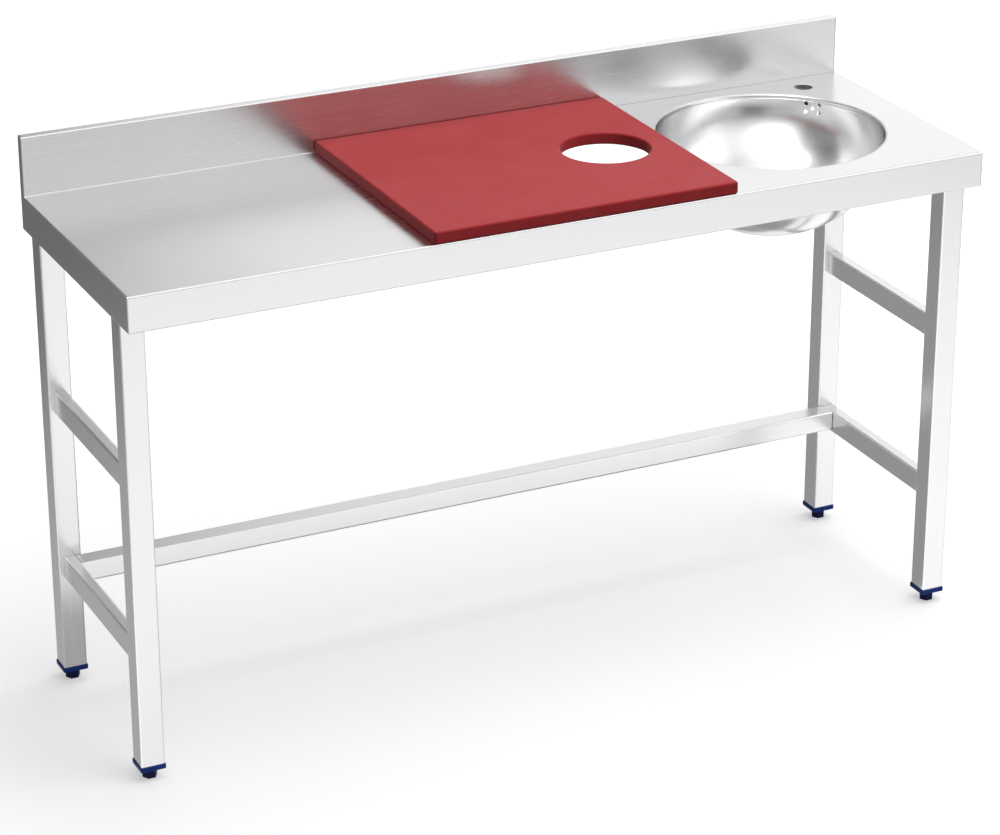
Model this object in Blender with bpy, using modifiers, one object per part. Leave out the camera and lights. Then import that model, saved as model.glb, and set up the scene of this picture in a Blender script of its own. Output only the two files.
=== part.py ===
"""Stainless steel sink table with a round bowl, a rear upstand and a loose cutting board.

Metres, +Z up, with the origin on the floor under the middle of the worktop. Front is -Y, left is -X.
Flat outlines are lists of complex numbers, x + yj, until they become curves.
"""

import cmath
import math

import bmesh
import bpy

# Clearances
GAP = 0.0003  # between pieces that touch on the real table
OVERCUT = 0.005  # how far a cutter runs past the face that it opens
WELD = 0.00001  # joins the loose caps of a filled curve
FLAT = math.radians(0.05)  # faces closer than this to one plane become one face

# Worktop sheet, measured on its outside
LENGTH = 1.500
DEPTH = 0.500
WORK_HEIGHT = 0.850
SHEET = 0.0012
APRON_HEIGHT = 0.060
LIP = 0.015  # return under the front and rear aprons
FOLD_RADIUS = 0.0025
SEAM_RADIUS = 0.0010  # hollow fold between the worktop and the upstand
END_RADIUS = 0.0015  # ground welds along both ends
UPSTAND_HEIGHT = 0.100
UPSTAND_DEPTH = 0.018
UPSTAND_RADIUS = 0.0018
TAP_HOLE_RADIUS = 0.016
TAP_FROM_END = 0.094
TAP_FROM_UPSTAND = 0.053

# Pressed bowl
BOWL_FROM_END = 0.262
BOWL_RADIUS = 0.1958  # outside of the rim, flush with the worktop
BOWL_DEPTH = 0.175
BOWL_SHEET = 0.001
RIM_RADIUS = 0.0025
BOWL_STRAIGHT = 0.010  # height of the upright part of the wall, rim included
SEAT_RADIUS = 0.036
SEAT_DRAFT = 0.002  # how much wider the seat's recess is at its mouth
SEAT_DROP = 0.001  # depth of the seat below the bowl's natural bottom
OUTLET_RADIUS = 0.026

# Overflow, five holes in a quincunx
OVERFLOW_RADIUS = 0.0035
OVERFLOW_DROP = 0.019
OVERFLOW_ANGLE = math.radians(38)
OVERFLOW_SIDE = 0.012
OVERFLOW_RISE = 0.007

# Outlet fittings
STRAINER_SHEET = 0.001
STRAINER_INSET = 0.001  # strainer's skirt inside the outlet, and its flange inside the seat
STRAINER_DEPTH = 0.005
STRAINER_HOLE_RADIUS = 0.0025
STRAINER_RINGS = ((0.0, 1), (0.0085, 6), (0.0165, 10))
SEAL_WIDTH = 0.005
SEAL_HEIGHT = 0.0012
RING_WIDTH = 0.004
RING_HEIGHT = 0.001
RING_NOTCHES = 6
RING_NOTCH_DEPTH = 0.0015

# Cutting board
BOARD_WIDTH = 0.5344
BOARD_HEIGHT = 0.020
BOARD_EDGE_RADIUS = 0.003
BOARD_CORNER_RADIUS = 0.004
BOARD_FROM_BOWL = 0.0053
BOARD_FROM_UPSTAND = 0.001
BORE_RADIUS = 0.075
BORE_FROM_BOARD_END = 0.0419
SCRAP_HOLE_MARGIN = 0.005  # how much wider the worktop's hole is than the board's bore

# Leg tubes
LEG = 0.040
LEG_WALL = 0.0015
TUBE_RADIUS = 0.0025
LEG_FROM_APRON = 0.0008
LEG_FROM_FRONT = 0.046
LEG_FROM_REAR = 0.0375

# Rails
RAIL_HEIGHT = 0.040
RAIL_WIDTH = 0.020
RAIL_WALL = 0.0015
UPPER_RAIL_TOP = 0.532
LOWER_RAIL_TOP = 0.234
LONG_RAIL = 0.035

# Brackets and bolts that hold the legs
BRACKET_SHEET = 0.003
BRACKET_WIDTH = 0.036
BRACKET_REACH = 0.030
BRACKET_DROP = 0.050
BRACKET_FOLD = 0.0035
BOLT_RADIUS = 0.004
BOLT_LENGTH = 0.016
BOLT_HEAD_FLATS = 0.013
BOLT_HEAD_HEIGHT = 0.0053
BOLT_DROPS = (0.017, 0.037)  # below the worktop's underside

# Hat channels under the worktop
CHANNEL_SHEET = 0.0012
CHANNEL_WEB = 0.018
CHANNEL_FLANGE = 0.008
CHANNEL_HEIGHT = 0.020
CHANNEL_FOLD = 0.0020
CHANNEL_END_GAP = 0.003
CHANNELS = 3

# Feet
PAD_FLATS = 0.022
PAD_HEIGHT = 0.0185
PAD_EDGE_RADIUS = 0.0012
PAD_FLOOR = 0.0057  # plastic left under the stud's socket
STUD_RADIUS = 0.005
STUD_LENGTH = 0.050
STUD_EDGE_RADIUS = 0.0008
FLANGE_HEIGHT = 0.008
FLANGE_OVERHANG = 0.0015  # past the tube on each side
FLANGE_EDGE_RADIUS = 0.0010
PLUG_LENGTH = 0.025
FIN_DEPTH = 0.0015
FIN_HEIGHT = 0.0015
FIN_PITCH = 0.005

# Round shapes: how many straight sides stand for a full turn or for one fold
BOWL_SIDES = 64
BORE_SIDES = 48
FITTING_SIDES = 32
BOLT_SIDES = 16
HOLE_SIDES = 10
BOWL_CURVE_STEPS = 9
FOLD_STEPS = 3

# Places that several pieces share
UNDERSIDE = WORK_HEIGHT - SHEET
APRON_BOTTOM = WORK_HEIGHT - APRON_HEIGHT
UPSTAND_TOP = WORK_HEIGHT + UPSTAND_HEIGHT
UPSTAND_FACE = DEPTH / 2 - UPSTAND_DEPTH
BOWL_X = LENGTH / 2 - BOWL_FROM_END
BOWL_BOTTOM = WORK_HEIGHT - BOWL_DEPTH + BOWL_SHEET
SEAT_TOP = BOWL_BOTTOM - SEAT_DROP
BOARD_DEPTH = DEPTH - UPSTAND_DEPTH - BOARD_FROM_UPSTAND
BOARD_RIGHT = BOWL_X - BOWL_RADIUS - BOARD_FROM_BOWL
BOARD_X = BOARD_RIGHT - BOARD_WIDTH / 2
BOARD_Y = BOARD_DEPTH / 2 - DEPTH / 2
BORE_X = BOARD_RIGHT - BORE_FROM_BOARD_END - BORE_RADIUS
SCRAP_HOLE_RADIUS = BORE_RADIUS + SCRAP_HOLE_MARGIN
SKIRT_RADIUS = OUTLET_RADIUS - STRAINER_INSET
LEG_X = LENGTH / 2 - SHEET - LEG_FROM_APRON - LEG / 2
LEG_BOTTOM = PAD_HEIGHT + GAP + FLANGE_HEIGHT + GAP
LEG_TOP = UNDERSIDE - GAP
FRONT_LEG_Y = LEG_FROM_FRONT + LEG / 2 - DEPTH / 2
REAR_LEG_Y = DEPTH / 2 - LEG_FROM_REAR - LEG / 2
STRAINER_FLANGE_BOTTOM = SEAT_TOP + GAP
CORNERS = {
    "front_left": (-1, FRONT_LEG_Y),
    "front_right": (1, FRONT_LEG_Y),
    "rear_left": (-1, REAR_LEG_Y),
    "rear_right": (1, REAR_LEG_Y),
}

# Turns of a flat curve that lies in X and Y and is drawn out along Z
ALONG_X = (math.pi / 2, 0, math.pi / 2)
ALONG_Y = (math.pi / 2, 0, 0)


def clear_scene():
    for obj in list(bpy.data.objects):
        bpy.data.objects.remove(obj, do_unlink=True)


def new_collection(name):
    collection = bpy.data.collections.new(name)
    bpy.context.scene.collection.children.link(collection)
    return collection


def new_material(name, colour, roughness, metallic):
    material = bpy.data.materials.new(name)
    material.use_nodes = True
    shader = material.node_tree.nodes["Principled BSDF"]
    shader.inputs["Base Color"].default_value = (*colour, 1)
    shader.inputs["Roughness"].default_value = roughness
    shader.inputs["Metallic"].default_value = metallic
    return material


def add_object(name, data, material, location=(0, 0, 0), rotation=(0, 0, 0), parent=None):
    """Add one sub-part of the table, with its own copy of the material."""
    if not data.materials:
        data.materials.append(None)
    obj = bpy.data.objects.new(name, data)
    obj.location = location
    obj.rotation_euler = rotation
    obj.parent = parent
    PARTS.objects.link(obj)
    own = material.copy()
    own.name = name
    obj.material_slots[0].link = "OBJECT"
    obj.material_slots[0].material = own
    return obj


def add_cutter(name, data, location=(0, 0, 0), rotation=(0, 0, 0)):
    obj = bpy.data.objects.new(name, data)
    obj.location = location
    obj.rotation_euler = rotation
    obj.hide_render = True
    obj.display_type = "WIRE"
    CUTTERS.objects.link(obj)
    return obj


def corner_arc(before, corner, after, radius):
    """Yield the points and headings of the arc that rounds one corner of a path."""
    into = (corner - before) / abs(corner - before)
    out = (after - corner) / abs(after - corner)
    turn = cmath.phase(out / into)
    inward = math.copysign(1, turn) * 1j
    start = corner - into * radius * math.tan(abs(turn) / 2)
    centre = start + into * inward * radius
    for step in range(FOLD_STEPS + 1):
        heading = into * cmath.exp(1j * turn * step / FOLD_STEPS)
        yield centre - heading * inward * radius, heading


def rounded(corners, radii):
    """Closed outline with each corner rounded by its own radius, or left sharp at 0."""
    outline = []
    for index, corner in enumerate(corners):
        if radii[index] == 0:
            outline.append(corner)
            continue
        after = corners[(index + 1) % len(corners)]
        arc = corner_arc(corners[index - 1], corner, after, radii[index])
        outline += [point for point, heading in arc]
    return outline


def rectangle(width, height, radius):
    corner = complex(width, height) / 2
    corners = [-corner, corner.conjugate(), corner, -corner.conjugate()]
    return rounded(corners, [radius] * 4)


def circle(radius, sides, centre=0):
    return [centre + cmath.rect(radius, math.tau * step / sides) for step in range(sides)]


def folded(path, radius, thickness):
    """Closed outline of a folded sheet whose middle follows the open path."""
    middle = [(path[0], (path[1] - path[0]) / abs(path[1] - path[0]))]
    for before, corner, after in zip(path, path[1:], path[2:]):
        middle += corner_arc(before, corner, after, radius)
    middle.append((path[-1], (path[-1] - path[-2]) / abs(path[-1] - path[-2])))
    left = [point + heading * 1j * thickness / 2 for point, heading in middle]
    right = [point - heading * 1j * thickness / 2 for point, heading in middle]
    return left + right[::-1]


def drawn(name, outlines, thickness, edge_radius=0.0):
    """Curve of flat outlines, drawn out along Z by the thickness about z = 0, with rounded rims."""
    curve = bpy.data.curves.new(name, "CURVE")
    curve.dimensions = "2D"
    curve.fill_mode = "BOTH"
    curve.extrude = thickness / 2 - edge_radius
    curve.bevel_depth = edge_radius
    curve.bevel_resolution = 1
    curve.offset = -edge_radius
    for outline in outlines:
        spline = curve.splines.new("POLY")
        spline.points.add(len(outline) - 1)
        spline.use_cyclic_u = True
        for point, place in zip(spline.points, outline):
            point.co = (place.real, place.imag, 0, 1)
    return curve


def cylinder(name, radius, sides, bottom, top):
    mesh = bpy.data.meshes.new(name)
    bm = bmesh.new()
    bmesh.ops.create_cone(bm, cap_ends=True, segments=sides, radius1=radius, radius2=radius, depth=top - bottom)
    bmesh.ops.translate(bm, verts=bm.verts, vec=(0, 0, (top + bottom) / 2))
    bm.to_mesh(mesh)
    bm.free()
    return mesh


def turned(name, profile, sides, closed):
    """Mesh of a profile of (radius, z) points turned about Z, outer side from top to bottom."""
    mesh = bpy.data.meshes.new(name)
    edges = [(step, step + 1) for step in range(len(profile) - 1)]
    if closed:
        edges.append((len(profile) - 1, 0))
    mesh.from_pydata([(radius, 0, z) for radius, z in profile], edges, [])
    helper = add_cutter(name + "_profile", mesh)
    screw = helper.modifiers.new("turn", "SCREW")
    screw.steps = sides
    screw.render_steps = sides
    screw.use_merge_vertices = True
    screw.merge_threshold = WELD
    return solid_mesh(helper)


def solid_mesh(source):
    """Mesh of an object as it stands with its modifiers, welded and shaded; the object goes."""
    bpy.context.view_layer.update()
    graph = bpy.context.evaluated_depsgraph_get()
    mesh = bpy.data.meshes.new_from_object(source.evaluated_get(graph))
    mesh.name = source.name
    bm = bmesh.new()
    bm.from_mesh(mesh)
    bmesh.ops.remove_doubles(bm, verts=bm.verts, dist=WELD)
    bmesh.ops.dissolve_limit(bm, angle_limit=FLAT, verts=bm.verts, edges=bm.edges)
    bmesh.ops.recalc_face_normals(bm, faces=bm.faces)
    bm.to_mesh(mesh)
    bm.free()
    mesh.shade_smooth()
    mesh.set_sharp_from_angle(angle=math.radians(35))
    bpy.data.objects.remove(source, do_unlink=True)
    return mesh


def curve_mesh(curve):
    """Mesh of a curve, in the curve's own axes."""
    return solid_mesh(add_cutter(curve.name, curve))


def combine(obj, tool, operation="DIFFERENCE"):
    modifier = obj.modifiers.new(tool.name, "BOOLEAN")
    modifier.operation = operation
    modifier.solver = "EXACT"
    modifier.object = tool


def worktop_section(inset):
    """Section of the worktop from its front apron to its rear one, drawn in by the inset."""
    half = DEPTH / 2
    corners = [
        complex(inset - half, APRON_BOTTOM + inset),
        complex(inset - half, WORK_HEIGHT - inset),
        complex(UPSTAND_FACE + inset, WORK_HEIGHT - inset),
        complex(UPSTAND_FACE + inset, UPSTAND_TOP - inset),
        complex(half - inset, UPSTAND_TOP - inset),
        complex(half - inset, APRON_BOTTOM + inset),
    ]
    fold = FOLD_RADIUS - inset
    top_fold = UPSTAND_RADIUS - inset
    return rounded(corners, [fold, fold, SEAM_RADIUS + inset, top_fold, top_fold, fold])


def add_worktop(steel):
    """Folded sheet: a block, less the hollow inside it and the mouth between its two lips."""
    block = curve_mesh(drawn("worktop", [worktop_section(0)], LENGTH, END_RADIUS))
    worktop = add_object("worktop", block, steel, rotation=ALONG_X)
    inner_length = LENGTH - 2 * SHEET
    hollow = curve_mesh(drawn("worktop_hollow", [worktop_section(SHEET)], inner_length))
    combine(worktop, add_cutter("worktop_hollow", hollow, rotation=ALONG_X))
    mouth = curve_mesh(drawn("worktop_mouth", [rectangle(inner_length, DEPTH - 2 * LIP, 0)], 2 * OVERCUT))
    combine(worktop, add_cutter("worktop_mouth", mouth, location=(0, 0, APRON_BOTTOM)))
    openings = {
        "bowl_opening": (BOWL_RADIUS + GAP, BOWL_SIDES, BOWL_X, 0),
        "scrap_opening": (SCRAP_HOLE_RADIUS, BORE_SIDES, BORE_X, BOARD_Y),
        "tap_opening": (
            TAP_HOLE_RADIUS,
            FITTING_SIDES,
            LENGTH / 2 - TAP_FROM_END,
            UPSTAND_FACE - TAP_FROM_UPSTAND,
        ),
    }
    for name, (radius, sides, x, y) in openings.items():
        tool = cylinder(name, radius, sides, -SHEET - OVERCUT, OVERCUT)
        combine(worktop, add_cutter(name, tool, location=(x, y, WORK_HEIGHT)))


def bowl_profile():
    """Closed section of the pressed bowl: down its outside, across the outlet, up its inside."""
    profile = []
    for inset, direction in ((BOWL_SHEET, 1), (0, -1)):
        wall = BOWL_RADIUS - RIM_RADIUS + inset
        straight_end = WORK_HEIGHT - BOWL_STRAIGHT
        side = []
        for step in range(FOLD_STEPS + 1):
            angle = math.pi / 2 * (1 + step / FOLD_STEPS)
            reach = RIM_RADIUS - inset
            side.append((BOWL_RADIUS + reach * math.cos(angle), WORK_HEIGHT - RIM_RADIUS + reach * math.sin(angle)))
        fall = straight_end - BOWL_BOTTOM + inset
        last = math.acos((SEAT_RADIUS + SEAT_DRAFT + inset) / wall)
        for step in range(BOWL_CURVE_STEPS + 1):
            angle = last * step / BOWL_CURVE_STEPS
            side.append((wall * math.cos(angle), straight_end - fall * math.sin(angle)))
        side.append((SEAT_RADIUS + inset, SEAT_TOP - inset))
        side.append((OUTLET_RADIUS, SEAT_TOP - inset))
        profile += side[::direction]
    return profile


def add_bowl(steel):
    mesh = turned("sink_bowl", bowl_profile(), BOWL_SIDES, closed=True)
    bowl = add_object("sink_bowl", mesh, steel, location=(BOWL_X, 0, 0))
    wall = BOWL_RADIUS - RIM_RADIUS
    spread = OVERFLOW_SIDE / wall
    quincunx = ((0, 0), (-1, -1), (1, -1), (-1, 1), (1, 1))
    for number, (across, up) in enumerate(quincunx, start=1):
        name = f"overflow_hole_{number}"
        angle = OVERFLOW_ANGLE + across * spread
        height = WORK_HEIGHT - OVERFLOW_DROP + up * OVERFLOW_RISE
        tool = cylinder(name, OVERFLOW_RADIUS, HOLE_SIDES, wall - 2 * OVERCUT, wall + BOWL_SHEET + OVERCUT)
        cutter = add_cutter(name, tool, location=(BOWL_X, 0, height), rotation=(0, math.pi / 2, angle))
        combine(bowl, cutter)


def add_outlet(steel, rubber):
    """Strainer in the bowl's seat, and the seal and lock ring that clamp it from below."""
    flange_top = STRAINER_FLANGE_BOTTOM + STRAINER_SHEET
    plate_bottom = STRAINER_FLANGE_BOTTOM - STRAINER_DEPTH
    plate_top = plate_bottom + STRAINER_SHEET
    flange_radius = SEAT_RADIUS - STRAINER_INSET
    profile = [
        (0, plate_top),
        (SKIRT_RADIUS - STRAINER_SHEET, plate_top),
        (SKIRT_RADIUS - STRAINER_SHEET, flange_top),
        (flange_radius, flange_top),
        (flange_radius, STRAINER_FLANGE_BOTTOM),
        (SKIRT_RADIUS, STRAINER_FLANGE_BOTTOM),
        (SKIRT_RADIUS, plate_bottom),
        (0, plate_bottom),
    ]
    mesh = turned("waste_strainer", profile, FITTING_SIDES, closed=False)
    strainer = add_object("waste_strainer", mesh, steel, location=(BOWL_X, 0, 0))
    for ring, (radius, count) in enumerate(STRAINER_RINGS):
        for step in range(count):
            name = f"strainer_hole_{ring}_{step}"
            angle = math.tau * step / count
            tool = cylinder(name, STRAINER_HOLE_RADIUS, HOLE_SIDES, plate_bottom - OVERCUT, plate_top + OVERCUT)
            place = (BOWL_X + radius * math.cos(angle), radius * math.sin(angle), 0)
            combine(strainer, add_cutter(name, tool, location=place))

    seal_top = SEAT_TOP - BOWL_SHEET - GAP
    bore = SKIRT_RADIUS + GAP
    seal_outlines = [circle(bore + SEAL_WIDTH, FITTING_SIDES), circle(bore, FITTING_SIDES)]
    seal = drawn("waste_seal", seal_outlines, SEAL_HEIGHT)
    add_object("waste_seal", seal, rubber, location=(BOWL_X, 0, seal_top - SEAL_HEIGHT / 2))

    ring_top = seal_top - SEAL_HEIGHT - GAP
    rim = []
    for step in range(4 * RING_NOTCHES):
        depth = RING_NOTCH_DEPTH if step % 4 > 1 else 0
        rim.append(cmath.rect(bore + RING_WIDTH - depth, math.tau * step / (4 * RING_NOTCHES)))
    lock_ring = drawn("waste_lock_ring", [rim, circle(bore, FITTING_SIDES)], RING_HEIGHT)
    add_object("waste_lock_ring", lock_ring, steel, location=(BOWL_X, 0, ring_top - RING_HEIGHT / 2))


def add_board(plastic):
    bore_centre = complex(BORE_X - BOARD_X, 0)
    outlines = [
        rectangle(BOARD_WIDTH, BOARD_DEPTH, BOARD_CORNER_RADIUS),
        circle(BORE_RADIUS, BORE_SIDES, bore_centre),
    ]
    board = drawn("cutting_board", outlines, BOARD_HEIGHT, BOARD_EDGE_RADIUS)
    board.bevel_resolution = 2
    height = WORK_HEIGHT + GAP + BOARD_HEIGHT / 2
    add_object("cutting_board", board, plastic, location=(BOARD_X, BOARD_Y, height))


def tube(name, width, height, wall, length):
    inner_radius = TUBE_RADIUS - wall
    outlines = [
        rectangle(width, height, TUBE_RADIUS),
        rectangle(width - 2 * wall, height - 2 * wall, inner_radius),
    ]
    return drawn(name, outlines, length)


def add_legs(steel):
    """Four square tubes, each with two bolt holes in the wall that faces its bracket."""
    mesh = curve_mesh(tube("leg", LEG, LEG, LEG_WALL, LEG_TOP - LEG_BOTTOM))
    middle = (LEG_TOP + LEG_BOTTOM) / 2
    helper = add_cutter("leg_with_holes", mesh)
    for number, drop in enumerate(BOLT_DROPS, start=1):
        name = f"leg_hole_{number}"
        tool = cylinder(name, BOLT_RADIUS + GAP, BOLT_SIDES, LEG / 2 - LEG_WALL - OVERCUT, LEG / 2 + OVERCUT)
        place = (0, 0, UNDERSIDE - drop - middle)
        combine(helper, add_cutter(name, tool, location=place, rotation=(0, math.pi / 2, 0)))
    drilled = solid_mesh(helper)
    for corner, (side, y) in CORNERS.items():
        turn = (0, 0, 0 if side < 0 else math.pi)
        add_object(f"leg_{corner}", drilled, steel, (side * LEG_X, y, middle), turn)


def add_rails(steel):
    """Upper and lower rails on both sides, and the long rail between the lower ones."""
    start = FRONT_LEG_Y + LEG / 2 + GAP
    end = REAR_LEG_Y - LEG / 2 - GAP
    side_rail = tube("side_rail", RAIL_WIDTH, RAIL_HEIGHT, RAIL_WALL, end - start)
    for level, top in (("upper", UPPER_RAIL_TOP), ("lower", LOWER_RAIL_TOP)):
        for side_name, side in (("left", -1), ("right", 1)):
            place = (side * LEG_X, (start + end) / 2, top - RAIL_HEIGHT / 2)
            add_object(f"{level}_side_rail_{side_name}", side_rail, steel, place, ALONG_Y)
    length = 2 * (LEG_X - RAIL_WIDTH / 2 - GAP)
    long_rail = tube("long_rail", LONG_RAIL, LONG_RAIL, RAIL_WALL, length)
    place = (0, end - LONG_RAIL / 2, LOWER_RAIL_TOP - LONG_RAIL / 2)
    add_object("long_rail", long_rail, steel, place, ALONG_X)


def bracket_mesh():
    """Folded angle: one flange under the worktop, one drilled flange against the leg."""
    middle = GAP + BRACKET_SHEET / 2
    path = [
        complex(BRACKET_REACH, -middle),
        complex(middle, -middle),
        complex(middle, -BRACKET_DROP),
    ]
    mesh = curve_mesh(drawn("leg_bracket", [folded(path, BRACKET_FOLD, BRACKET_SHEET)], BRACKET_WIDTH))
    helper = add_cutter("bracket_with_holes", mesh)
    for number, drop in enumerate(BOLT_DROPS, start=1):
        name = f"bracket_hole_{number}"
        tool = cylinder(name, BOLT_RADIUS + GAP, BOLT_SIDES, -OVERCUT, middle + BRACKET_SHEET + OVERCUT)
        combine(helper, add_cutter(name, tool, location=(0, -drop, 0), rotation=(0, math.pi / 2, 0)))
    return solid_mesh(helper)


def bolt_mesh():
    """Hexagon bolt along Z, its head above z = 0 and its shank below."""
    head = drawn("bolt_head", [circle(BOLT_HEAD_FLATS / math.sqrt(3), 6)], BOLT_HEAD_HEIGHT)
    lifted = curve_mesh(head)
    helper = add_cutter("bolt", lifted, location=(0, 0, BOLT_HEAD_HEIGHT / 2))
    shank = cylinder("bolt_shank", BOLT_RADIUS, BOLT_SIDES, -BOLT_LENGTH, BOLT_HEAD_HEIGHT / 2)
    combine(helper, add_cutter("bolt_shank", shank), "UNION")
    mesh = solid_mesh(helper)
    for vertex in mesh.vertices:
        vertex.co.z += BOLT_HEAD_HEIGHT / 2
    return mesh


def add_brackets(steel):
    bracket = bracket_mesh()
    bolt = bolt_mesh()
    for corner, (side, y) in CORNERS.items():
        face = side * (LEG_X - LEG / 2)
        turn = 0 if side < 0 else math.pi
        add_object(f"leg_bracket_{corner}", bracket, steel, (face, y, UNDERSIDE), (math.pi / 2, 0, turn))
        seat = face - side * (2 * GAP + BRACKET_SHEET)
        for level, drop in zip(("upper", "lower"), BOLT_DROPS):
            place = (seat, y, UNDERSIDE - drop)
            add_object(f"leg_bolt_{corner}_{level}", bolt, steel, place, (0, -side * math.pi / 2, 0))


def channel_places():
    """Middles of the hat channels, shared out between the left brackets and the scrap hole."""
    start = BRACKET_REACH + LEG / 2 - LEG_X
    end = BORE_X - SCRAP_HOLE_RADIUS
    return [start + (end - start) * step / (CHANNELS + 1) for step in range(1, CHANNELS + 1)]


def add_channels(steel):
    top = -GAP - CHANNEL_SHEET / 2
    low = top - CHANNEL_HEIGHT + CHANNEL_SHEET
    web = CHANNEL_WEB / 2
    flange = web + CHANNEL_FLANGE
    path = [
        complex(-flange, top),
        complex(-web, top),
        complex(-web, low),
        complex(web, low),
        complex(web, top),
        complex(flange, top),
    ]
    start = CHANNEL_END_GAP + SHEET - DEPTH / 2
    end = UPSTAND_FACE - SEAM_RADIUS - CHANNEL_END_GAP
    channel = drawn("cross_channel", [folded(path, CHANNEL_FOLD, CHANNEL_SHEET)], end - start)
    for number, x in enumerate(channel_places(), start=1):
        place = (x, (start + end) / 2, UNDERSIDE)
        add_object(f"cross_channel_{number}", channel, steel, place, ALONG_Y)


def finned_plug(bottom, top, width):
    """Square plug with fins all round, a profile turned in four steps."""
    to_corner = math.sqrt(2) / 2
    tip = width * to_corner
    core = (width - 2 * FIN_DEPTH) * to_corner
    profile = [(0, top), (core, top)]
    height = top - FIN_PITCH
    while height - FIN_HEIGHT > LEG_BOTTOM:
        profile += [(core, height), (tip, height - FIN_HEIGHT / 2), (tip, height - FIN_HEIGHT)]
        profile.append((core, height - FIN_HEIGHT))
        height -= FIN_PITCH
    profile += [(core, bottom), (0, bottom)]
    return turned("insert_plug", profile, 4, closed=False)


def insert_mesh():
    """Plastic end plug of a leg: finned plug, flange a little wider than the tube, bore for the stud."""
    flange_bottom = PAD_HEIGHT + GAP
    flange_top = flange_bottom + FLANGE_HEIGHT
    plug_top = LEG_BOTTOM + PLUG_LENGTH
    overlap = FLANGE_HEIGHT / 2
    width = LEG + 2 * FLANGE_OVERHANG
    flange = drawn("insert", [rectangle(width, width, TUBE_RADIUS)], FLANGE_HEIGHT, FLANGE_EDGE_RADIUS)
    flange_mesh = curve_mesh(flange)
    for vertex in flange_mesh.vertices:
        vertex.co.z += (flange_bottom + flange_top) / 2
    helper = add_cutter("insert", flange_mesh)
    plug = finned_plug(flange_top - overlap, plug_top, LEG - 2 * LEG_WALL - 2 * GAP)
    combine(helper, add_cutter("insert_plug", plug, rotation=(0, 0, math.pi / 4)), "UNION")
    bore = cylinder("insert_bore", STUD_RADIUS + GAP, BOLT_SIDES, flange_bottom - OVERCUT, plug_top + OVERCUT)
    combine(helper, add_cutter("insert_bore", bore))
    return solid_mesh(helper)


def stud_mesh():
    bottom = PAD_FLOOR + GAP
    edge = STUD_EDGE_RADIUS
    profile = [
        (0, bottom + STUD_LENGTH),
        (STUD_RADIUS - edge, bottom + STUD_LENGTH),
        (STUD_RADIUS, bottom + STUD_LENGTH - edge),
        (STUD_RADIUS, bottom),
        (0, bottom),
    ]
    return turned("stud", profile, BOLT_SIDES, closed=False)


def pad_mesh():
    """Hexagonal foot with the socket that takes the stud."""
    radius = PAD_FLATS / math.sqrt(3)
    hexagon = curve_mesh(drawn("pad", [circle(radius, 6)], PAD_HEIGHT, PAD_EDGE_RADIUS))
    for vertex in hexagon.vertices:
        vertex.co.z += PAD_HEIGHT / 2
    helper = add_cutter("pad", hexagon)
    socket = cylinder("pad_socket", STUD_RADIUS + GAP, BOLT_SIDES, PAD_FLOOR, PAD_HEIGHT + OVERCUT)
    combine(helper, add_cutter("pad_socket", socket))
    return solid_mesh(helper)


def add_feet(insert_plastic, pad_plastic, steel):
    """An empty on each leg's axis carries the insert, the stud and the hexagonal foot."""
    insert = insert_mesh()
    stud = stud_mesh()
    pad = pad_mesh()
    for corner, (side, y) in CORNERS.items():
        axis = bpy.data.objects.new(f"foot_axis_{corner}", None)
        axis.location = (side * LEG_X, y, 0)
        PARTS.objects.link(axis)
        add_object(f"foot_insert_{corner}", insert, insert_plastic, parent=axis)
        add_object(f"foot_stud_{corner}", stud, steel, parent=axis)
        add_object(f"foot_pad_{corner}", pad, pad_plastic, parent=axis)


clear_scene()
PARTS = new_collection("sink_table")
CUTTERS = new_collection("cutters")

brushed_steel = new_material("brushed_steel", (0.60, 0.60, 0.60), 0.32, 1.0)
zinc_steel = new_material("zinc_steel", (0.55, 0.56, 0.58), 0.35, 1.0)
red_plastic = new_material("red_plastic", (0.44, 0.065, 0.075), 0.45, 0.0)
blue_plastic = new_material("blue_plastic", (0.015, 0.042, 0.22), 0.5, 0.0)
navy_plastic = new_material("navy_plastic", (0.006, 0.012, 0.05), 0.5, 0.0)
black_rubber = new_material("black_rubber", (0.02, 0.02, 0.02), 0.8, 0.0)

add_worktop(brushed_steel)
add_bowl(brushed_steel)
add_outlet(brushed_steel, black_rubber)
add_board(red_plastic)
add_legs(brushed_steel)
add_rails(brushed_steel)
add_brackets(zinc_steel)
add_channels(zinc_steel)
add_feet(blue_plastic, navy_plastic, zinc_steel)
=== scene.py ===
"""Finished look of a stainless steel sink table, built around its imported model.

Metres, +Z up, front is -Y and left is -X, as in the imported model. A ramp is four numbers: from, to, the
value at from and the value at to.
"""

import math

import bmesh
import bpy
from mathutils import Matrix, Vector


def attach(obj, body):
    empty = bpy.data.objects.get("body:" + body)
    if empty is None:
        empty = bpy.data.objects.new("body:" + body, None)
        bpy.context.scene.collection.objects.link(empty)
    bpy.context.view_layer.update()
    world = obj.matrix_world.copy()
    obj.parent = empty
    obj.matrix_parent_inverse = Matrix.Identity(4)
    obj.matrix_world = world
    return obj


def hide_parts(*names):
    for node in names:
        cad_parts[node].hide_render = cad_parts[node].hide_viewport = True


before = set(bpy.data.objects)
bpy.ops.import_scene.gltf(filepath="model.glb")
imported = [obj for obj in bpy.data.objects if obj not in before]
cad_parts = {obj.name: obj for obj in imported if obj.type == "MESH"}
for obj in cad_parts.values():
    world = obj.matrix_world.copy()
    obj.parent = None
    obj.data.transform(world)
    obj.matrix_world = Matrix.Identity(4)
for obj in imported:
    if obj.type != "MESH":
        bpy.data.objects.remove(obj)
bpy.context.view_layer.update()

# Camera, fitted to the straight edges of the table
CAMERA_PLACE = (-2.26723, -4.72065, 2.71197)
CAMERA_TURN = math.radians(-25.4739)
CAMERA_TILT = math.radians(90 - 23.6897)
CAMERA_ROLL = math.radians(-0.1086)
CAMERA_LENS = 122.446  # mm
SENSOR_WIDTH = 36  # mm

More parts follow.
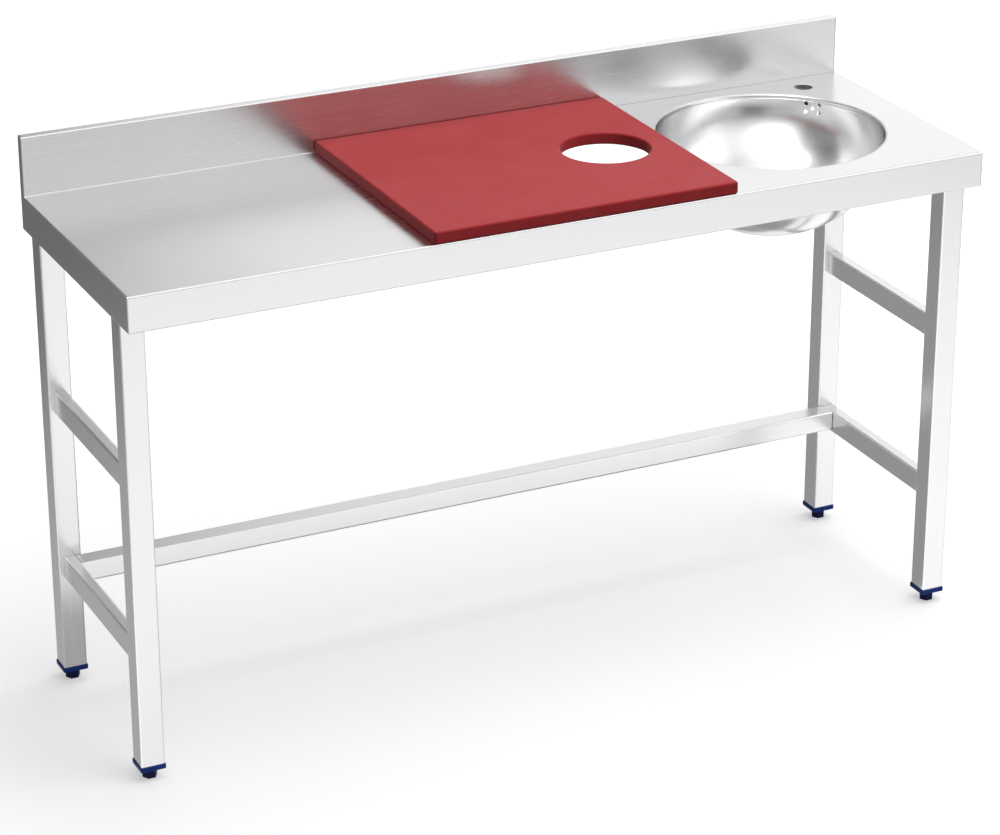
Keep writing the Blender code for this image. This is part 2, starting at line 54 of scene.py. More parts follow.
# Worktop and pressed bowl, as in the model
WORK_HEIGHT = 0.850
UPSTAND_FACE = 0.232
BOWL_X = 0.488
BOWL_RADIUS = 0.1958
BOWL_SHEET = 0.001
RIM_RADIUS = 0.0025
STRAIGHT_END = 0.840
BOWL_BOTTOM = 0.676
SEAT_TOP = 0.675
SEAT_RADIUS = 0.036
SEAT_MOUTH = 0.038
OUTLET_RADIUS = 0.026
OVERFLOW_RADIUS = 0.0035
OVERFLOW_HEIGHT = 0.831
OVERFLOW_ANGLE = math.radians(38)
OVERFLOW_SIDE = 0.012
OVERFLOW_RISE = 0.007
OVERFLOW_PATTERN = ((0, 0), (-1, -1), (1, -1), (-1, 1), (1, 1))

# Finer bowl that only the scene has
SEAM_HEIGHT = 0.8435
SEAM_HALF_WIDTH = 0.0006
SEAM_DEPTH = 0.0005
BOWL_SIDES = 192
CURVE_STEPS = 48
RIM_STEPS = 8
HOLE_SIDES = 32
CUTTER_DEPTH = 0.020
SEAT_MARGIN = 0.002  # the smooth wall starts this far outside the seat's mouth
WALL_MATCH = 0.97  # cosine above which a face counts as part of the smooth wall
SHARP_ANGLE = math.radians(35)

# Grain, in cells for each metre
LINES_ACROSS = 2200.0
LINES_ALONG = 6.0
STREAKS_ACROSS = 170.0
STREAKS_ALONG = 1.5
RINGS = 1800.0
SMUDGES = 5.0
BOWL_CLOUDS = 60.0
PLASTIC_CLOUDS = 14.0
ZINC_CRYSTALS = 700.0
FLOOR_SPECKLE = 40.0

# Edges, for wear and, on steel, for a painted highlight and painted shade: a normal rounded by an edge's
# radius, and its cosine to the flat normal
WEAR_SAMPLES = 6
WEAR_STARTS = 0.999
WEAR_FULL = 0.92

# Steel
STEEL_COLOUR = (0.66, 0.66, 0.6633, 1)
STEEL_ROUGHNESS = 0.25
BOWL_ROUGHNESS = 0.20
LINES_RANGE = (0.25, 0.75)
ROUGHNESS_SPREAD = 0.03
WORN_SMOOTHER = 0.08
STEEL_EDGE = 0.0024
# how sharp a steel edge must be for less roughness from wear and for its painted highlight and shade
STEEL_WEAR_AND_LIGHT_FULL = 0.97
LINES_SHARE = 0.8  # of the fine lines in the grain, and the rest are wider streaks
RINGS_SHARE = 0.7
LINE_BUMP = 0.04
LINE_DEPTH = 0.00002
PAINTED_EDGE_LIGHT_SIDE = (-0.8, 0.0, 0.6)  # steel edges that face this way get a painted highlight, and the others painted shade
END_APRON = 0.7  # how far a face turns towards an end before it counts as an end apron
LINE_TINT = (0.3, 0.7, 0.970, 1.025)
SMUDGE_TINT = (0.35, 0.65, 0.993, 1.005)
SMUDGE_ROUGHNESS = (0.3, 0.7, -0.008, 0.012)
# painted highlight and painted shade on steel edges, as a factor on their colour
PAINTED_EDGE_LIGHT = (-0.20, 0.35, 0.35, 1.40)
# painted shade in the fold at the foot of the upstand, more of it towards the right
FOLD_SHADE = (0.0006, 0.0026, 1.0, 0.0)
FOLD_SHADE_RIGHT = (0.0, 0.3, 0.0, 0.28)

# Zinc
ZINC_DARK = (0.52, 0.54, 0.58, 1)
ZINC_PALE = (0.70, 0.71, 0.73, 1)
ZINC_WORN = (0.82, 0.82, 0.82, 1)
ZINC_EDGE = 0.0004
ZINC_ROUGHNESS = (0.0, 1.0, 0.22, 0.42)
ZINC_BUMP = 0.1
ZINC_DEPTH = 0.0001

# Plastic and rubber
WORN_PALER = 0.55
SKIN_RANGE = (0.3, 0.7)
GLOSS_SPREAD = 0.06
SKIN_BUMP = 0.35
PLASTIC_SPECULAR = 0.08
CLOUDS_PALER = (0.3, 0.7, 0.0, 0.22)

# Light, where 1 shows a colour as it is written
WHITE = (1, 1, 1, 1)
LAMP_WATTS = 56
LAMP_SIZE = (3.2, 2.8)
LAMP_PLACE = (0.6, -0.3, 3.4)
LAMP_TARGET = (0.0, 0.0, 0.8)
SKY = (-0.9, 0.9, 0.05, 0.68)  # on colours, from left to right
THROWN = (0.42, 0.42, 0.42, 1)  # share of the mirrored studio that metal throws onto colours and the floor

# Floor
FLOOR_REACH = 14.0
FLOOR_SEEN = (0.95, 0.95, 0.95, 1)  # its colour where the camera or metal sees it, under its glow
FLOOR_BOUNCE = (0.25, 0.25, 0.25, 1)  # its colour as it lights the table
FLOOR_ROUGHNESS = 0.9
FLOOR_GLOW = (0.8, 2.4, 0.44, 0.80)  # seen by the camera: more away from the table, where the lamp fades
FLOOR_GLOW_IN_METAL = 0.79
FLOOR_LEFT = (-1.9, -1.1, 0.35, 1.0)
FLOOR_RIGHT = (1.8, 3.4, 1.0, 0.55)
FLOOR_FRONT = (-4.6, -3.3, 0.6, 1.0)
FLOOR_REAR = (0.2, 1.0, 1.0, 0.55)
SPECKLE_TINT = (0.3, 0.7, 0.985, 1.0)

# Grey card on the floor, which only reflections see
CARD_LOW = (-4.0, -0.15)
CARD_HIGH = (0.7, 4.0)
CARD_LIFT = 0.0005
CARD_RIGHT_HALF = (0.42, 0.42, 0.42, 1)
CARD_LEFT_HALF = (0.4, 2.2, 0.52, 0.19)
CARD_SIDEWAYS = (-0.7, -0.3, 0.0, 1.0)

# Studio that metal mirrors, by direction
DARK_SIDE = (-0.976, 0.068, 0.208)  # towards the unlit left end
DARK_EDGE = (0.72, 0.956, 1.0, 0.27)
DARK_TWICE = 0.75  # least light on the dark side where the bowl mirrors it twice
LIFTED_SIDE = (-0.824, 0.476, 0.309)  # brighter where the bowl mirrors it twice
LIFTED_EDGE = (0.1, 0.7, 1.0, 1.5)
SECOND_MIRROR = 1.5  # more glossy bounces than this is mirrored twice
SOFTBOX_SIDE = (-0.439, -0.628, 0.643)
SOFTBOX_EDGE = (0.85, 0.96, 0.0, 0.8)
FRONT_SIDEWAYS = (-0.35, 0.10, 1.60, 1.42)
FRONT_RIGHT = (0.28, 0.46, 0.0, 0.30)
FRONT_LOW = (-0.1, 0.9, 0.20, 0.88)
FRONT_UP = (-0.10, 0.50, 0.0, 1.0)
REAR_RIGHT = (0.21, 0.355, 0.15, 1.38)
REAR_FAR_RIGHT = (0.38, 0.50, 0.0, 0.11)
REAR_LEFT = (-0.25, -0.70, 0.15, 1.25)
REAR_LOW = (0.0, 0.24, 0.10, 1.0)
REAR_HIGH = (0.38, 0.54, 1.0, 0.60)
FRONT_TO_REAR = (-0.2, 0.3, 0.0, 1.0)
LOW_RIGHT_SIDEWAYS = (0.55, 0.85, 0.0, 0.42)
LOW_RIGHT_UP = (0.22, 0.36, 1.0, 0.0)
TOP_LEFT = (-0.15, -0.55, 0.0, 5.0)
TOP_SIDEWAYS = (-0.1, 0.35, 1.5, 1.1)
TOP_REAR = (0.78, 0.97, 1.05, 1.65)
TOP_FRONT_TO_REAR = (-0.15, 0.12, 0.0, 1.0)
AROUND_TO_TOP = (0.68, 0.84, 0.0, 1.0)


def look_at_table():
    """Sets the camera where the photograph was taken from."""
    camera = bpy.data.objects.new("camera", bpy.data.cameras.new("camera"))
    camera.data.lens = CAMERA_LENS
    camera.data.sensor_width = SENSOR_WIDTH
    turn = Matrix.Rotation(CAMERA_TURN, 4, "Z")
    tilt = Matrix.Rotation(CAMERA_TILT, 4, "X")
    roll = Matrix.Rotation(CAMERA_ROLL, 4, "Z")
    camera.matrix_world = Matrix.Translation(CAMERA_PLACE) @ turn @ tilt @ roll
    bpy.context.scene.collection.objects.link(camera)
    bpy.context.scene.camera = camera


class Nodes:
    """Adds shader nodes to one tree, with short calls."""

    def __init__(self, tree):
        self.tree = tree
        tree.nodes.clear()

    def add(self, kind, **settings):
        node = self.tree.nodes.new("ShaderNode" + kind)
        for name, value in settings.items():
            setattr(node, name, value)
        return node

    def join(self, output, target):
        self.tree.links.new(output, target)

    def feed(self, value, socket):
        """Sets the socket to a fixed value, or joins it to an output."""
        if isinstance(value, (int, float, tuple)):
            socket.default_value = value
        else:
            self.join(value, socket)

    def math(self, operation, first, second=0.0):
        node = self.add("Math", operation=operation)
        self.feed(first, node.inputs[0])
        self.feed(second, node.inputs[1])
        return node.outputs[0]

    def spread(self, value, low, high, out_low, out_high):
        """Maps low..high to out_low..out_high, smoothly, and holds the ends."""
        node = self.add("MapRange", interpolation_type="SMOOTHSTEP")
        self.join(value, node.inputs["Value"])
        node.inputs["From Min"].default_value = low
        node.inputs["From Max"].default_value = high
        node.inputs["To Min"].default_value = out_low
        node.inputs["To Max"].default_value = out_high
        return node.outputs["Result"]

    def blend(self, factor, first, second, mode="MIX"):
        node = self.add("Mix", data_type="RGBA", blend_type=mode)
        self.feed(factor, node.inputs[0])
        self.feed(first, node.inputs[6])
        self.feed(second, node.inputs[7])
        return node.outputs[2]

    def times(self, first, second):
        """A colour multiplied by another one, or by a number."""
        return self.blend(1.0, first, second, "MULTIPLY")

    def shares(self, first, share, second):
        """A share of the first value, and the rest of the second."""
        rest = self.math("MULTIPLY", second, 1 - share)
        return self.math("ADD", self.math("MULTIPLY", first, share), rest)

    def diagonal(self, first, second):
        """The length of the diagonal across two lengths."""
        first_square = self.math("MULTIPLY", first, first)
        second_square = self.math("MULTIPLY", second, second)
        return self.math("SQRT", self.math("ADD", first_square, second_square))

    def dot(self, first, second):
        """1 where two directions agree, 0 where they are square and -1 where they are opposite."""
        node = self.add("VectorMath", operation="DOT_PRODUCT")
        self.join(first, node.inputs[0])
        self.feed(second, node.inputs[1])
        return node.outputs["Value"]

    def parts(self, vector):
        """The X, Y and Z of a vector."""
        node = self.add("SeparateXYZ")
        self.join(vector, node.inputs[0])
        return node.outputs

    def place(self, scale=(1, 1, 1)):
        """The point on the surface, in metres times scale."""
        coordinate = self.add("TexCoord")
        mapping = self.add("Mapping")
        mapping.inputs["Scale"].default_value = scale
        self.join(coordinate.outputs["Object"], mapping.inputs["Vector"])
        return mapping.outputs["Vector"]

    def noise(self, vector, scale, detail=2.0, roughness=0.5):
        node = self.add("TexNoise")
        node.inputs["Scale"].default_value = scale
        node.inputs["Detail"].default_value = detail
        node.inputs["Roughness"].default_value = roughness
        self.join(vector, node.inputs["Vector"])
        return node.outputs["Fac"]

    def edges(self, radius, full=WEAR_FULL):
        """0 on flat faces, rising towards 1 on edges sharper than the radius, and the softened normal."""
        bevel = self.add("Bevel", samples=WEAR_SAMPLES)
        bevel.inputs["Radius"].default_value = radius
        geometry = self.add("NewGeometry")
        agreement = self.dot(bevel.outputs["Normal"], geometry.outputs["Normal"])
        on_edge = self.spread(agreement, WEAR_STARTS, full, 0.0, 1.0)
        return on_edge, bevel.outputs["Normal"]

    def bump(self, height, strength, distance, normal):
        node = self.add("Bump")
        node.inputs["Strength"].default_value = strength
        node.inputs["Distance"].default_value = distance
        self.join(height, node.inputs["Height"])
        self.join(normal, node.inputs["Normal"])
        return node.outputs["Normal"]


def new_material(name):
    """A new material with its node helper and the socket that its shader goes into."""
    material = bpy.data.materials.new(name)
    material.use_nodes = True
    nodes = Nodes(material.node_tree)
    output = nodes.add("OutputMaterial")
    return material, nodes, output.inputs["Surface"]


def principled(name):
    """A new material with its node helper and its main shader."""
    material, nodes, surface = new_material(name)
    shader = nodes.add("BsdfPrincipled")
    nodes.join(shader.outputs["BSDF"], surface)
    return material, nodes, shader


def grain_along(nodes, axis):
    """Fine brushed lines that run along one axis: 0 for X, 1 for Y, 2 for Z."""
    lines = [LINES_ACROSS] * 3
    lines[axis] = LINES_ALONG
    streaks = [STREAKS_ACROSS] * 3
    streaks[axis] = STREAKS_ALONG
    fine = nodes.noise(nodes.place(tuple(lines)), 1.0, detail=3.0, roughness=0.6)
    wide = nodes.noise(nodes.place(tuple(streaks)), 1.0)
    return nodes.shares(fine, LINES_SHARE, wide)


def sheet_grain(nodes):
    """Lines along X, but along Y on the two end aprons."""
    geometry = nodes.add("NewGeometry")
    x, _, _ = nodes.parts(geometry.outputs["Normal"])
    at_end = nodes.math("GREATER_THAN", nodes.math("ABSOLUTE", x), END_APRON)
    return nodes.blend(at_end, grain_along(nodes, 0), grain_along(nodes, 1))


def bowl_grain(nodes):
    """Polishing lines that run round the bowl's axis."""
    x, y, z = nodes.parts(nodes.place())
    radius = nodes.diagonal(nodes.math("SUBTRACT", x, BOWL_X), y)
    ring = nodes.add("CombineXYZ")
    nodes.join(nodes.math("MULTIPLY", radius, RINGS), ring.inputs["X"])
    nodes.join(nodes.math("MULTIPLY", z, RINGS), ring.inputs["Y"])
    lines = nodes.noise(ring.outputs[0], 1.0, detail=3.0, roughness=0.6)
    clouds = nodes.noise(nodes.place(), BOWL_CLOUDS)
    return nodes.shares(lines, RINGS_SHARE, clouds)


def fold_painted_shade(nodes):
    """Painted shade: 1 on the worktop, darker in the right half of the tight fold at the foot of its
    upstand.
    """
    x, y, z = nodes.parts(nodes.place())
    across = nodes.math("SUBTRACT", y, UPSTAND_FACE)
    up = nodes.math("SUBTRACT", z, WORK_HEIGHT)
    in_fold = nodes.spread(nodes.diagonal(across, up), *FOLD_SHADE)
    at_right = nodes.spread(x, *FOLD_SHADE_RIGHT)
    return nodes.math("SUBTRACT", 1.0, nodes.math("MULTIPLY", in_fold, at_right))


def steel_look(name, grain, roughness=STEEL_ROUGHNESS, painted_shade=None):
    """Satin stainless steel. grain(nodes) gives its brushed lines, and the last argument, a function of
    nodes, gives painted shade. Edges get a painted highlight where they face up and to the left, and
    painted shade where they face elsewhere.
    """
    material, nodes, shader = principled(name)
    lines = grain(nodes)
    smudges = nodes.noise(nodes.place(), SMUDGES, detail=3.0)
    # edge mask: less roughness for wear, and where the painted edge highlight and painted shade go
    on_edge, soft = nodes.edges(STEEL_EDGE, STEEL_WEAR_AND_LIGHT_FULL)
    tint = nodes.math("MULTIPLY", nodes.spread(lines, *LINE_TINT), nodes.spread(smudges, *SMUDGE_TINT))
    shade = nodes.times(STEEL_COLOUR, tint)
    # painted highlight on edges that face up and to the left, painted shade on the rest
    painted_edge_light = nodes.spread(nodes.dot(soft, PAINTED_EDGE_LIGHT_SIDE), *PAINTED_EDGE_LIGHT)
    shade = nodes.blend(on_edge, shade, nodes.times(shade, painted_edge_light))
    # painted shade, such as in the worktop's fold
    if painted_shade:
        shade = nodes.times(shade, painted_shade(nodes))
    nodes.join(shade, shader.inputs["Base Color"])
    rough = nodes.spread(lines, *LINES_RANGE, roughness - ROUGHNESS_SPREAD, roughness + ROUGHNESS_SPREAD)
    rough = nodes.math("ADD", rough, nodes.spread(smudges, *SMUDGE_ROUGHNESS))
    rough = nodes.math("SUBTRACT", rough, nodes.math("MULTIPLY", on_edge, WORN_SMOOTHER))
    nodes.join(rough, shader.inputs["Roughness"])
    nodes.join(nodes.bump(lines, LINE_BUMP, LINE_DEPTH, soft), shader.inputs["Normal"])
    shader.inputs["Metallic"].default_value = 1.0
    return material


def plastic_look(name, colour, lighter, roughness, texture_scale, depth, edge):
    """Solid plastic with a fine skin, uneven gloss and paler edges."""
    material, nodes, shader = principled(name)
    place = nodes.place()
    skin = nodes.noise(place, texture_scale, detail=3.0, roughness=0.6)
    clouds = nodes.noise(place, PLASTIC_CLOUDS, detail=3.0)
    on_edge, soft = nodes.edges(edge)
    shade = nodes.blend(nodes.spread(clouds, *CLOUDS_PALER), colour, lighter)
    shade = nodes.blend(nodes.math("MULTIPLY", on_edge, WORN_PALER), shade, lighter)
    nodes.join(shade, shader.inputs["Base Color"])
    rough = nodes.spread(skin, *SKIN_RANGE, roughness - GLOSS_SPREAD, roughness + GLOSS_SPREAD)
    nodes.join(rough, shader.inputs["Roughness"])
    nodes.join(nodes.bump(skin, SKIN_BUMP, depth, soft), shader.inputs["Normal"])
    shader.inputs["Specular IOR Level"].default_value = PLASTIC_SPECULAR
    return material


def zinc_look():
    """Zinc plating: small crystals of different tint and gloss."""
    material, nodes, shader = principled("zinc_plating")
    cells = nodes.add("TexVoronoi")
    cells.inputs["Scale"].default_value = ZINC_CRYSTALS
    nodes.join(nodes.place(), cells.inputs["Vector"])
    grey = nodes.add("RGBToBW")
    nodes.join(cells.outputs["Color"], grey.inputs[0])
    on_edge, soft = nodes.edges(ZINC_EDGE)
    shade = nodes.blend(grey.outputs[0], ZINC_DARK, ZINC_PALE)
    nodes.join(nodes.blend(on_edge, shade, ZINC_WORN), shader.inputs["Base Color"])
    nodes.join(nodes.spread(grey.outputs[0], *ZINC_ROUGHNESS), shader.inputs["Roughness"])
    height = cells.outputs["Distance"]
    nodes.join(nodes.bump(height, ZINC_BUMP, ZINC_DEPTH, soft), shader.inputs["Normal"])
    shader.inputs["Metallic"].default_value = 1.0
    return material


def rim_points(inset):
    """Rolled rim from its outer edge to the top of the wall, as (radius, height)."""
    reach = RIM_RADIUS - inset
    points = []
    for step in range(RIM_STEPS + 1):
        angle = math.pi / 2 * (1 + step / RIM_STEPS)
        height = WORK_HEIGHT - RIM_RADIUS + reach * math.sin(angle)
        points.append((BOWL_RADIUS + reach * math.cos(angle), height))
    return points


def wall_points(inset):
    """Wall from below the rim, with its fine seam, down the ellipse to the outlet, as (radius, height)."""
    wide = BOWL_RADIUS - RIM_RADIUS + inset
    fall = STRAIGHT_END - BOWL_BOTTOM + inset
    last = math.acos((SEAT_MOUTH + inset) / wide)
    points = []
    if inset == 0:
        points.append((wide, SEAM_HEIGHT + SEAM_HALF_WIDTH))
        points.append((wide + SEAM_DEPTH, SEAM_HEIGHT))
        points.append((wide, SEAM_HEIGHT - SEAM_HALF_WIDTH))
    for step in range(CURVE_STEPS + 1):
        angle = last * step / CURVE_STEPS
        points.append((wide * math.cos(angle), STRAIGHT_END - fall * math.sin(angle)))
    points.append((SEAT_RADIUS + inset, SEAT_TOP - inset))
    points.append((OUTLET_RADIUS, SEAT_TOP - inset))
    return points


def turned_mesh(name, profile, sides, centre):
    """A ring-shaped solid from a closed profile of (radius, height)."""
    mesh = bpy.data.meshes.new(name)
    form = bmesh.new()
    rings = []
    for side in range(sides):
        angle = 2 * math.pi * side / sides
        out = Vector((math.cos(angle), math.sin(angle), 0))
        places = [centre + out * radius + Vector((0, 0, height)) for radius, height in profile]
        rings.append([form.verts.new(place) for place in places])
    for side in range(sides):
        here = rings[side]
        there = rings[(side + 1) % sides]
        for point in range(len(profile)):
            following = (point + 1) % len(profile)
            form.faces.new((here[point], here[following], there[following], there[point]))
    bmesh.ops.recalc_face_normals(form, faces=form.faces)
    form.to_mesh(mesh)
    form.free()
    return mesh


def hole_cutter(number, across, up):
    """A cylinder across the bowl's wall at one hole of the overflow."""
    wall = BOWL_RADIUS - RIM_RADIUS
    angle = OVERFLOW_ANGLE + across * OVERFLOW_SIDE / wall
    form = bmesh.new()
    bmesh.ops.create_cone(form, cap_ends=True, segments=HOLE_SIDES, radius1=OVERFLOW_RADIUS,
                          radius2=OVERFLOW_RADIUS, depth=CUTTER_DEPTH)
    out = Vector((math.cos(angle), math.sin(angle), 0))
    place = Vector((BOWL_X, 0, OVERFLOW_HEIGHT + up * OVERFLOW_RISE)) + out * wall
    turn = out.to_track_quat("Z", "Y").to_matrix().to_4x4()
    form.transform(Matrix.Translation(place) @ turn)
    mesh = bpy.data.meshes.new(f"overflow_{number}")
    form.to_mesh(mesh)
    form.free()
    return bpy.data.objects.new(mesh.name, mesh)


def cut_overflow(bowl):
    """Cuts the five overflow holes into the bowl."""
    whole = bowl.data
    cutters = []
    for number, (across, up) in enumerate(OVERFLOW_PATTERN, start=1):
        cutter = hole_cutter(number, across, up)
        bpy.context.scene.collection.objects.link(cutter)
        cutters.append(cutter)
        modifier = bowl.modifiers.new(cutter.name, "BOOLEAN")
        modifier.solver = "EXACT"
        modifier.object = cutter
    graph = bpy.context.evaluated_depsgraph_get()
    cut = bpy.data.meshes.new_from_object(bowl.evaluated_get(graph))
    cut.name = "bowl_shell"
    bowl.modifiers.clear()
    bowl.data = cut
    bpy.data.meshes.remove(whole)
    for cutter in cutters:
        bpy.data.meshes.remove(cutter.data)


def smooth_wall_normals(mesh):
    """Shades the wall as one smooth curve, so the holes leave no dents in its shine."""
    fall = STRAIGHT_END - BOWL_BOTTOM
    wall = BOWL_RADIUS - RIM_RADIUS
    normals = [Vector(corner.vector) for corner in mesh.corner_normals]
    for face in mesh.polygons:
        for loop in face.loop_indices:
            point = mesh.vertices[mesh.loops[loop].vertex_index].co
            out = Vector((point.x - BOWL_X, point.y, 0))
            if point.z > STRAIGHT_END or out.length < SEAT_MOUTH + SEAT_MARGIN:
                continue
            radial = out.normalized()
            ideal = radial * (out.length / wall ** 2)
            ideal.z = (point.z - STRAIGHT_END) / fall ** 2
            ideal.normalize()
            if abs(ideal.dot(face.normal)) > WALL_MATCH:
                normals[loop] = ideal if ideal.dot(face.normal) > 0 else -ideal
    mesh.normals_split_custom_set([tuple(normal) for normal in normals])


def add_bowl(material):
    """The pressed bowl, turned finely, with its five overflow holes."""
    inside = rim_points(0) + wall_points(0)
    profile = rim_points(BOWL_SHEET) + wall_points(BOWL_SHEET) + inside[::-1]
    mesh = turned_mesh("bowl_shell", profile, BOWL_SIDES, Vector((BOWL_X, 0, 0)))
    bowl = bpy.data.objects.new("bowl_shell", mesh)
    bpy.context.scene.collection.objects.link(bowl)
    cut_overflow(bowl)
    bowl.data.shade_smooth()
    bowl.data.set_sharp_from_angle(angle=SHARP_ANGLE)
    smooth_wall_normals(bowl.data)
    bowl.data.materials.clear()
    bowl.data.materials.append(material)
    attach(bowl, "table")
    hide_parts("sink_bowl")


def floor_greyness(nodes):
    """Share of its paleness that the floor keeps: all of it in front of the table, and less elsewhere."""
    x, y, _ = nodes.parts(nodes.place())
    sides = nodes.math("MULTIPLY", nodes.spread(x, *FLOOR_LEFT), nodes.spread(x, *FLOOR_RIGHT))
    ends = nodes.math("MULTIPLY", nodes.spread(y, *FLOOR_FRONT), nodes.spread(y, *FLOOR_REAR))
    return nodes.math("MULTIPLY", sides, ends)


def floor_look():
    """Pale floor that keeps the table's shadow, and glows more away from it, where the lamp fades.

    Metal sees it pale in front of the table only, and greyer towards the other sides.
    """
    material, nodes, shader = principled("pale_floor")
    path = nodes.add("LightPath")
    by_camera = nodes.math("MAXIMUM", path.outputs["Is Camera Ray"], path.outputs["Is Transmission Ray"])
    by_metal = path.outputs["Is Glossy Ray"]
    seen = nodes.math("MAXIMUM", by_camera, by_metal)
    away = nodes.add("VectorMath", operation="LENGTH")
    nodes.join(nodes.place(), away.inputs[0])
    in_picture = nodes.math("MULTIPLY", by_camera, nodes.spread(away.outputs["Value"], *FLOOR_GLOW))
    in_metal = nodes.math("MULTIPLY", by_metal, FLOOR_GLOW_IN_METAL)
    greyer = nodes.blend(by_metal, WHITE, floor_greyness(nodes))
    glow = nodes.math("MULTIPLY", nodes.math("ADD", in_picture, in_metal), greyer)
    speckle = nodes.spread(nodes.noise(nodes.place(), FLOOR_SPECKLE, detail=3.0), *SPECKLE_TINT)
    pale = nodes.times(FLOOR_SEEN, nodes.math("MULTIPLY", speckle, greyer))
    nodes.join(nodes.blend(seen, FLOOR_BOUNCE, pale), shader.inputs["Base Color"])
    shader.inputs["Emission Color"].default_value = WHITE
    nodes.join(glow, shader.inputs["Emission Strength"])
    shader.inputs["Roughness"].default_value = FLOOR_ROUGHNESS
    shader.inputs["Specular IOR Level"].default_value = 0.0
    return material


def card_look():
    """A glowing grey: darker towards the back at the left, even at the right."""
    material, nodes, surface = new_material("grey_card")
    x, y, _ = nodes.parts(nodes.place())
    left = nodes.spread(y, *CARD_LEFT_HALF)
    glow = nodes.add("Emission")
    nodes.join(nodes.blend(nodes.spread(x, *CARD_SIDEWAYS), left, CARD_RIGHT_HALF), glow.inputs["Strength"])
    nodes.join(glow.outputs[0], surface)
    return material


def flat_object(name, low, high, height, material):
    """A level rectangle of the stage, from one corner to the opposite one."""
    corners = ((low[0], low[1]), (high[0], low[1]), (high[0], high[1]), (low[0], high[1]))
    mesh = bpy.data.meshes.new(name)
    mesh.from_pydata([(x, y, height) for x, y in corners], [], [(0, 1, 2, 3)])
    mesh.materials.append(material)
    panel = bpy.data.objects.new(name, mesh)
    bpy.context.scene.collection.objects.link(panel)
    return panel


def add_floor():
    """The floor, far wider than the table."""
    flat_object("floor", (-FLOOR_REACH, -FLOOR_REACH), (FLOOR_REACH, FLOOR_REACH), 0, floor_look())


def add_card():
    """The grey card, hidden from all but reflections."""
    card = flat_object("grey_card", CARD_LOW, CARD_HIGH, CARD_LIFT, card_look())
    card.visible_camera = False
    card.visible_diffuse = False
    card.visible_transmission = False
    card.visible_shadow = False


def front_light(nodes, x, z, towards):
    """The studio in front of the table: darker low down at the left, with a softbox higher up."""
    light = nodes.math("ADD", nodes.spread(x, *FRONT_SIDEWAYS), nodes.spread(x, *FRONT_RIGHT))
    share = nodes.blend(nodes.spread(z, *FRONT_UP), nodes.spread(x, *FRONT_LOW), WHITE)
    softbox = nodes.spread(nodes.dot(towards, SOFTBOX_SIDE), *SOFTBOX_EDGE)
    return nodes.math("ADD", nodes.math("MULTIPLY", share, light), softbox)


def rear_light(nodes, x, z):
    """The studio behind the table: bright to the right and left, dark in the middle and low down."""
    light = nodes.math("ADD", nodes.spread(x, *REAR_RIGHT), nodes.spread(x, *REAR_FAR_RIGHT))
    light = nodes.math("MAXIMUM", light, nodes.spread(x, *REAR_LEFT))
    light = nodes.math("MULTIPLY", light, nodes.spread(z, *REAR_LOW))
    return nodes.math("MULTIPLY", light, nodes.spread(z, *REAR_HIGH))


def top_light(nodes, x, y, z):
    """The studio above the table: very bright at the left in front, and brighter straight up behind."""
    front = nodes.math("ADD", nodes.spread(x, *TOP_LEFT), nodes.spread(x, *TOP_SIDEWAYS))
    return nodes.blend(nodes.spread(y, *TOP_FRONT_TO_REAR), front, nodes.spread(z, *TOP_REAR))


def dark_share(nodes, towards, bounces):
    """Share of the light that the unlit left side keeps: more where the bowl mirrors it twice."""
    twice = nodes.math("GREATER_THAN", bounces, SECOND_MIRROR)
    share = nodes.spread(nodes.dot(towards, DARK_SIDE), *DARK_EDGE)
    share = nodes.math("MAXIMUM", share, nodes.math("MULTIPLY", twice, DARK_TWICE))
    lifted = nodes.spread(nodes.dot(towards, LIFTED_SIDE), *LIFTED_EDGE)
    return nodes.math("MULTIPLY", share, nodes.blend(twice, WHITE, lifted))


def low_right_share(nodes, x, z):
    """Share of the light that is left low down at the far right."""
    lost = nodes.math("MULTIPLY", nodes.spread(x, *LOW_RIGHT_SIDEWAYS), nodes.spread(z, *LOW_RIGHT_UP))
    return nodes.math("SUBTRACT", 1.0, lost)


def light_world():
    """White to the camera, brighter from the right on colours, and a studio where metal mirrors it."""
    world = bpy.data.worlds.new("studio")
    world.use_nodes = True
    bpy.context.scene.world = world
    nodes = Nodes(world.node_tree)
    path = nodes.add("LightPath")
    towards = nodes.add("TexCoord").outputs["Generated"]
    x, y, z = nodes.parts(towards)
    front = front_light(nodes, x, z, towards)
    around = nodes.blend(nodes.spread(y, *FRONT_TO_REAR), front, rear_light(nodes, x, z))
    around = nodes.math("MULTIPLY", around, dark_share(nodes, towards, path.outputs["Glossy Depth"]))
    around = nodes.math("MULTIPLY", around, low_right_share(nodes, x, z))
    mirrored = nodes.blend(nodes.spread(z, *AROUND_TO_TOP), around, top_light(nodes, x, y, z))
    onto_colours = nodes.math("MINIMUM", path.outputs["Diffuse Depth"], 1.0)
    mirrored = nodes.blend(onto_colours, mirrored, nodes.times(mirrored, THROWN))
    strength = nodes.blend(path.outputs["Is Glossy Ray"], nodes.spread(x, *SKY), mirrored)
    strength = nodes.blend(path.outputs["Is Camera Ray"], strength, WHITE)
    background = nodes.add("Background")
    nodes.join(strength, background.inputs["Color"])
    output = nodes.add("OutputWorld")
    nodes.join(background.outputs[0], output.inputs["Surface"])


def add_lamp():
    """One wide soft lamp overhead, a little to the front and right."""
    lamp = bpy.data.lights.new("soft_lamp", "AREA")
    lamp.shape = "RECTANGLE"
    lamp.size, lamp.size_y = LAMP_SIZE
    lamp.energy = LAMP_WATTS
    place = bpy.data.objects.new("soft_lamp", lamp)
    place.location = LAMP_PLACE
    towards = Vector(LAMP_TARGET) - Vector(LAMP_PLACE)
    place.rotation_euler = towards.to_track_quat("-Z", "Y").to_euler()
    place.visible_glossy = False
    bpy.context.scene.collection.objects.link(place)


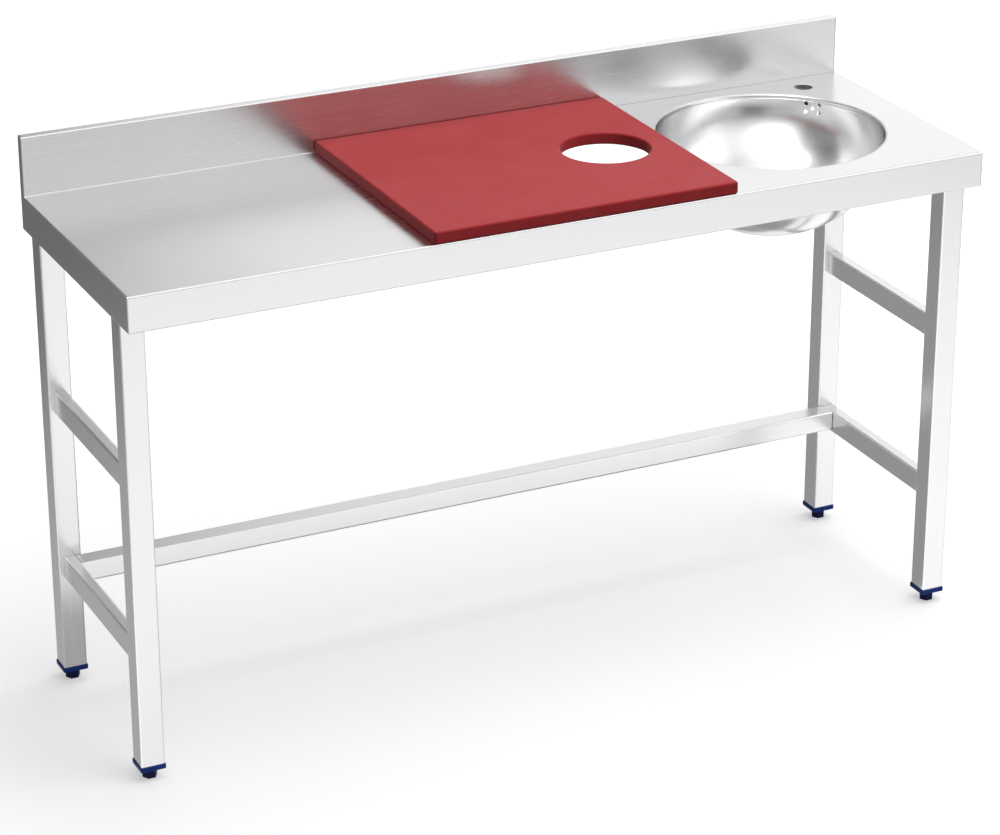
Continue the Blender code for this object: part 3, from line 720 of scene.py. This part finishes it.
def plastic_looks():
    """The board's red, the two blues of the feet, and the black seal."""
    return {
        "board": plastic_look("board_plastic", (0.45, 0.036, 0.042, 1), (0.53, 0.072, 0.077, 1),
                              roughness=0.42, texture_scale=900.0, depth=0.00006, edge=0.002),
        "insert": plastic_look("insert_plastic", (0.020, 0.060, 0.33, 1), (0.05, 0.12, 0.46, 1),
                               roughness=0.38, texture_scale=1500.0, depth=0.00003, edge=0.0008),
        "pad": plastic_look("pad_plastic", (0.013, 0.022, 0.11, 1), (0.03, 0.05, 0.18, 1),
                            roughness=0.40, texture_scale=1500.0, depth=0.00003, edge=0.0008),
        "rubber": plastic_look("seal_rubber", (0.018, 0.018, 0.018, 1), (0.05, 0.05, 0.05, 1),
                               roughness=0.62, texture_scale=1100.0, depth=0.00005, edge=0.0004),
    }


def metal_looks():
    """Steel by the direction of its brushed lines, and zinc for the screws."""
    return {
        "sheet": steel_look("sheet_steel", sheet_grain, painted_shade=fold_painted_shade),
        "x": steel_look("tube_steel_x", lambda nodes: grain_along(nodes, 0)),
        "y": steel_look("tube_steel_y", lambda nodes: grain_along(nodes, 1)),
        "z": steel_look("tube_steel_z", lambda nodes: grain_along(nodes, 2)),
        "bowl": steel_look("bowl_steel", bowl_grain, roughness=BOWL_ROUGHNESS),
        "zinc": zinc_look(),
    }


def dress_nodes(looks):
    """Gives every node of the model its material, by the first start that its name has."""
    starts = {
        "worktop": "sheet", "waste_strainer": "bowl", "waste_lock_ring": "bowl", "waste_seal": "rubber",
        "cross_channel": "y", "long_rail": "x", "upper_side_rail": "y", "lower_side_rail": "y",
        "leg_bracket": "z", "leg_bolt": "zinc", "leg_": "z", "cutting_board": "board",
        "foot_insert": "insert", "foot_stud": "zinc", "foot_pad": "pad", "sink_bowl": "bowl",
    }
    for name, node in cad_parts.items():
        look = next(key for start, key in starts.items() if name.startswith(start))
        for slot in node.material_slots:
            slot.material = looks[look]


look_at_table()
add_floor()
add_card()
light_world()
add_lamp()
looks = metal_looks() | plastic_looks()
dress_nodes(looks)
add_bowl(looks["bowl"])
bpy.context.scene.view_settings.view_transform = "Standard"
